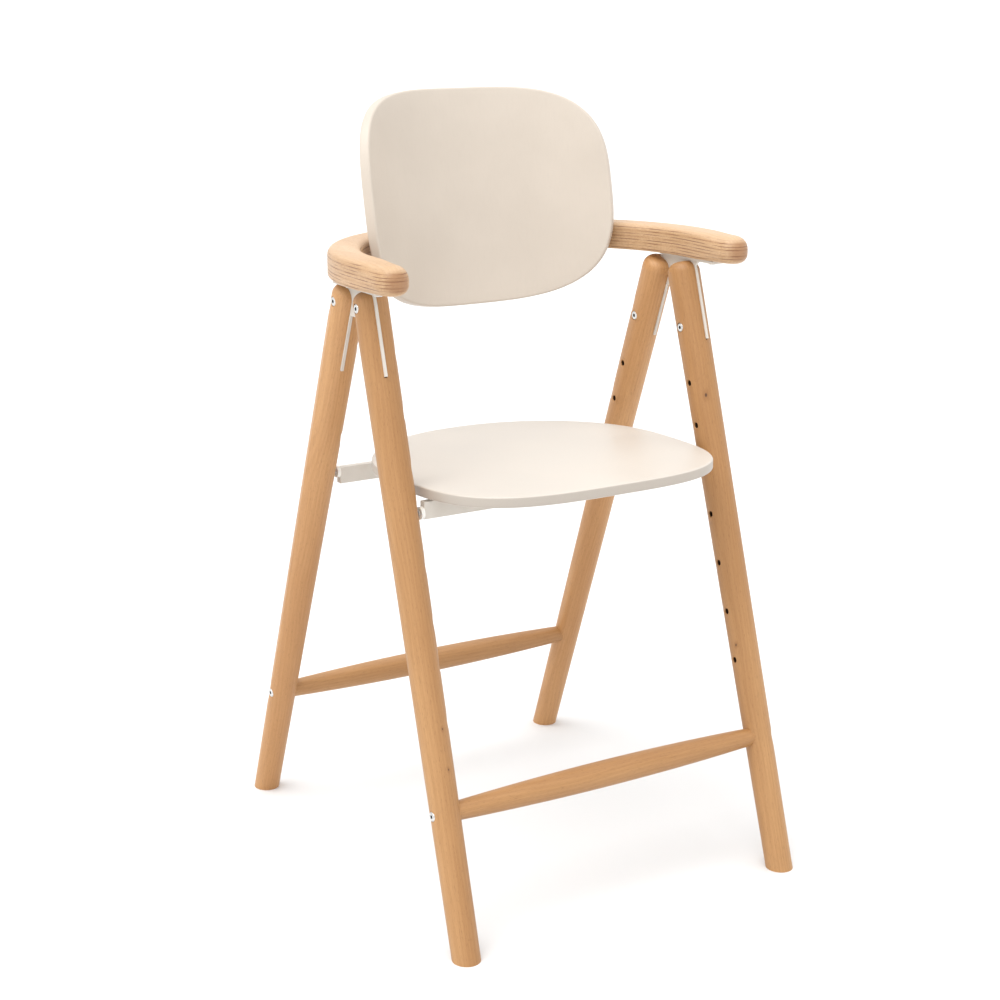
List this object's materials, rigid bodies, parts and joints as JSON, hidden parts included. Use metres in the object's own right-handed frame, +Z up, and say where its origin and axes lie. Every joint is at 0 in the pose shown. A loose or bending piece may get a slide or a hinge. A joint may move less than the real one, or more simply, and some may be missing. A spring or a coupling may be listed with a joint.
{
  "type": "baby high chair",
  "caption": "Baby high chair with splayed round wooden legs, a horseshoe armrest, a curved backrest and a seat that sets at several heights.",
  "frame": {"origin": "on the floor, under the middle of the four feet", "axes": "+Z up, the chair's front towards -Y, its right-hand side, seen from the front, towards +X"},
  "size_m": [0.469, 0.5481, 0.8766],
  "materials": {
    "beech": "solid beech under a clear satin lacquer",
    "laminated_beech": "beech plywood, its plies showing on the edges, under a clear satin lacquer",
    "cream_lacquer": "moulded plywood in satin cream lacquer",
    "cream_steel": "powder coat, cream, satin",
    "nylon": "moulded nylon, matte",
    "screw_steel": "zinc-plated steel"
  },
  "bodies": {
    "frame": {"leg_front_left": "beech", "leg_front_right": "beech", "leg_rear_left": "beech", "leg_rear_right": "beech", "stretcher_front": "beech", "stretcher_rear": "beech", "stretcher_screws": "screw_steel", "stretcher_inserts": "screw_steel", "top_bracket_left": "cream_steel", "top_bracket_right": "cream_steel", "bracket_screws_outer": "screw_steel", "bracket_screws_inner": "screw_steel", "armrest": "laminated_beech", "armrest_screws": "screw_steel", "backrest": "cream_lacquer", "backrest_spacers": "nylon", "backrest_screws": "screw_steel"},
    "seat": {"seat_board": "cream_lacquer", "seat_board_spacers": "nylon", "seat_board_screws": "screw_steel"},
    "crossbar_front": {"crossbar_front": "cream_steel", "crossbar_front_collars": "nylon", "crossbar_front_studs": "screw_steel"},
    "crossbar_rear": {"crossbar_rear": "cream_steel", "crossbar_rear_collars": "nylon", "crossbar_rear_studs": "screw_steel"}
  },
  "joints": [
    {"name": "seat_height", "type": "slide", "parent": "frame", "child": "seat", "axis": [0, 0, 1], "range_m": [0, 0.0944]},
    {"name": "crossbar_front_height", "type": "slide", "parent": "frame", "child": "crossbar_front", "axis": [0, 0.297, 0.9549], "range_m": [0, 0.0989]},
    {"name": "crossbar_rear_height", "type": "slide", "parent": "frame", "child": "crossbar_rear", "axis": [0, -0.3577, 0.9338], "range_m": [0, 0.1012]}
  ],
  "couplings": [
    {"joint": "crossbar_front_height", "follows": "seat_height", "ratio": 1.0472},
    {"joint": "crossbar_rear_height", "follows": "seat_height", "ratio": 1.0708}
  ]
}
